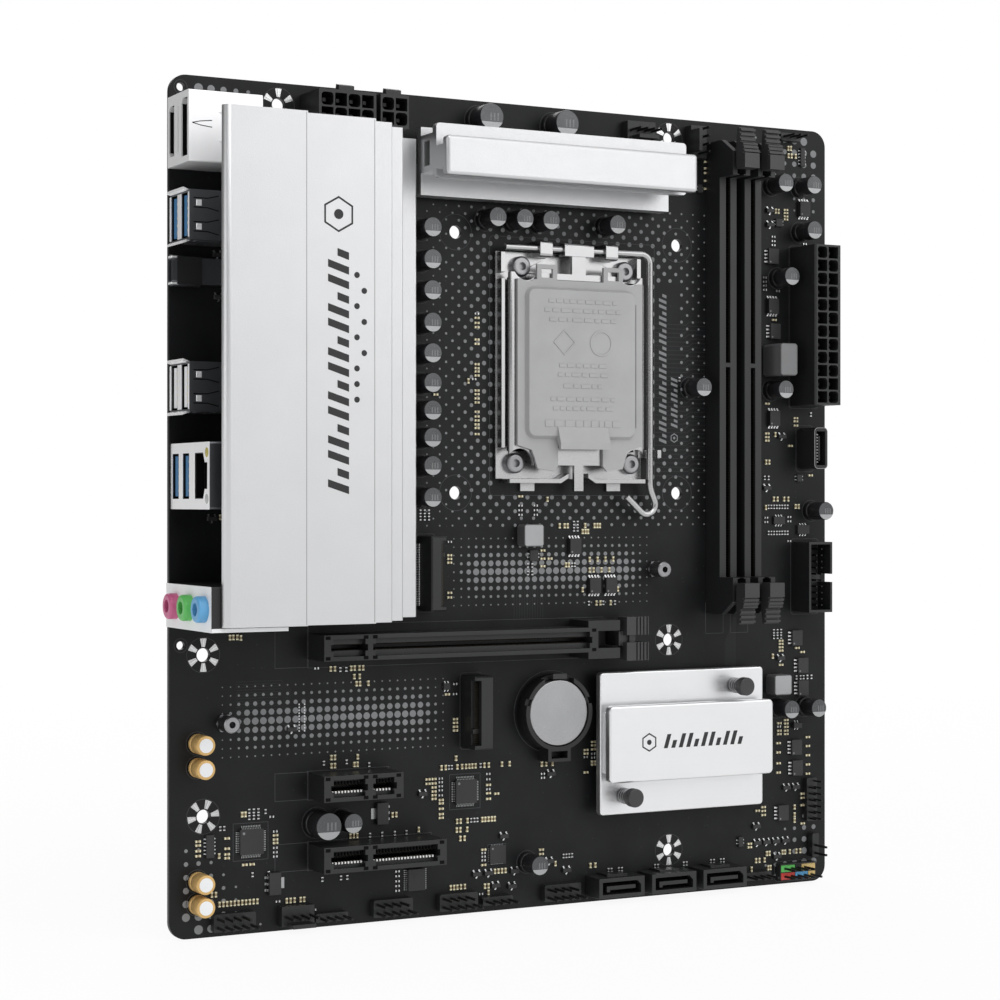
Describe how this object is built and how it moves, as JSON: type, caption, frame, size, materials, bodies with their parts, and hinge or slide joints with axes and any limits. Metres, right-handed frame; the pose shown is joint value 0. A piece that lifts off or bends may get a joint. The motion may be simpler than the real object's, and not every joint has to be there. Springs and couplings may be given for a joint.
{
  "type": "motherboard",
  "caption": "Micro-ATX motherboard with lever-loaded CPU socket, latched memory slots, card slots, M.2 connectors, stepped aluminium heatsinks and rear ports.",
  "frame": {"origin": "centre of the four CPU cooler holes, on the rear face of the board", "axes": "-Y out of the component side, -X out of the rear port edge, +Z towards the CPU power connectors, as mounted in a tower case"},
  "size_m": [0.2286, 0.0424, 0.2438],
  "materials": {
    "board": "satin solder mask",
    "black_plastic": "moulded, matt",
    "slot_plastic": "moulded, satin",
    "latch_plastic": "moulded, satin",
    "grey_plastic": "moulded, fine texture",
    "white_plastic": "moulded",
    "pink_plastic": "moulded",
    "green_plastic": "moulded",
    "blue_plastic": "moulded",
    "lamp_plastic": "clear light pipes",
    "colour_plastic": "coloured fields",
    "chip_plastic": "moulded epoxy",
    "pad_rubber": "soft silicone",
    "ferrite": "pressed powder",
    "silver_aluminium": "sandblasted, anodised",
    "can_aluminium": "dark sleeved can",
    "gold_can": "gold sleeve",
    "bright_steel": "nickel-plated",
    "spring_steel": "blackened spring wire",
    "dark_steel": "black insulated",
    "black_steel": "black oxide",
    "nickel": "nickel-plated",
    "gold": "gold-plated"
  },
  "bodies": {
    "board": {"audio_block": "white_plastic", "audio_capacitors": "gold_can", "audio_jack_blue": "blue_plastic", "audio_jack_green": "green_plastic", "audio_jack_pink": "pink_plastic", "battery_clip": "bright_steel", "battery_holder": "black_plastic", "capacitors": "can_aluminium", "chips": "chip_plastic", "chipset": "chip_plastic", "chipset_heatsink": "silver_aluminium", "circuit_board": "board", "connector_pins": "nickel", "cpu_power_connectors": "black_plastic", "dimm_slot_inner": "slot_plastic", "dimm_slot_outer": "slot_plastic", "display_connector": "nickel", "fan_headers": "black_plastic", "front_panel_header": "colour_plastic", "front_usb_c_header": "nickel", "heatsink_screws": "black_steel", "inductors": "ferrite", "m2_connector_lower": "black_plastic", "m2_connector_upper": "black_plastic", "m2_standoffs": "nickel", "main_power_connector": "black_plastic", "pcie_x16_slot": "slot_plastic", "pcie_x1_slot": "slot_plastic", "pcie_x4_slot": "slot_plastic", "pin_headers": "black_plastic", "pin_spring_lower": "spring_steel", "pin_spring_upper": "spring_steel", "port_lamps": "lamp_plastic", "port_tongues": "black_plastic", "power_stages": "chip_plastic", "rear_heatsink": "silver_aluminium", "sata_ports": "black_plastic", "socket_backplate": "dark_steel", "socket_contacts": "gold", "socket_frame": "bright_steel", "socket_housing": "black_plastic", "socket_screws": "bright_steel", "thermal_pads": "pad_rubber", "upper_heatsink": "silver_aluminium", "usb3_header": "black_plastic", "usb_c_port": "nickel", "usb_lan_stack": "nickel", "usb_stack_lower": "nickel", "usb_stack_upper": "nickel"},
    "load_lever": {"load_lever": "bright_steel"},
    "load_plate": {"load_plate": "bright_steel"},
    "socket_cover": {"socket_cover": "grey_plastic"},
    "push_pin_upper": {"push_pin_upper": "black_plastic"},
    "push_pin_lower": {"push_pin_lower": "black_plastic"},
    "coin_cell": {"coin_cell": "bright_steel"},
    "pcie_latch": {"pcie_latch": "latch_plastic"},
    "dimm_latch_inner_lower": {"dimm_latch_inner_lower": "latch_plastic"},
    "dimm_latch_inner_upper": {"dimm_latch_inner_upper": "latch_plastic"},
    "dimm_latch_outer_lower": {"dimm_latch_outer_lower": "latch_plastic"},
    "dimm_latch_outer_upper": {"dimm_latch_outer_upper": "latch_plastic"}
  },
  "joints": [
    {"name": "load_lever_hinge", "type": "hinge", "parent": "board", "child": "load_lever", "pos_m": [0, -0.0062, 0.03502], "axis": [-1, 0, 0], "range_deg": [0, 120]},
    {"name": "load_plate_hinge", "type": "hinge", "parent": "board", "child": "load_plate", "pos_m": [0, -0.0062, 0.03502], "axis": [-1, 0, 0], "range_deg": [0, 84]},
    {"name": "socket_cover_pull", "type": "slide", "parent": "load_plate", "child": "socket_cover", "axis": [0, -1, 0], "range_m": [0, 0.008]},
    {"name": "coin_cell_pull", "type": "slide", "parent": "board", "child": "coin_cell", "axis": [0, -1, 0], "range_m": [0, 0.009]},
    {"name": "pcie_latch_hinge", "type": "hinge", "parent": "board", "child": "pcie_latch", "pos_m": [0.01473, -0.0036, -0.08355], "axis": [0, 0, 1], "range_deg": [0, 20]},
    {"name": "dimm_latch_inner_lower_hinge", "type": "hinge", "parent": "board", "child": "dimm_latch_inner_lower", "pos_m": [0.05303, -0.0061, -0.07075], "axis": [1, 0, 0], "range_deg": [0, 25]},
    {"name": "dimm_latch_outer_lower_hinge", "type": "hinge", "parent": "board", "child": "dimm_latch_outer_lower", "pos_m": [0.06243, -0.0061, -0.07075], "axis": [1, 0, 0], "range_deg": [0, 25]},
    {"name": "dimm_latch_inner_upper_hinge", "type": "hinge", "parent": "board", "child": "dimm_latch_inner_upper", "pos_m": [0.05303, -0.0061, 0.06555], "axis": [-1, 0, 0], "range_deg": [0, 25]},
    {"name": "dimm_latch_outer_upper_hinge", "type": "hinge", "parent": "board", "child": "dimm_latch_outer_upper", "pos_m": [0.06243, -0.0061, 0.06555], "axis": [-1, 0, 0], "range_deg": [0, 25]},
    {"name": "push_pin_upper_press", "type": "slide", "parent": "board", "child": "push_pin_upper", "axis": [0, 1, 0], "range_m": [0, 0.002], "stiffness_N_per_m": 1200, "springref_m": -0.003, "deforming": ["pin_spring_upper"]},
    {"name": "push_pin_lower_press", "type": "slide", "parent": "board", "child": "push_pin_lower", "axis": [0, 1, 0], "range_m": [0, 0.002], "stiffness_N_per_m": 1200, "springref_m": -0.003, "deforming": ["pin_spring_lower"]}
  ],
  "couplings": [
    {"joint": "load_plate_hinge", "follows": "load_lever_hinge", "ratio": 0.7}
  ]
}
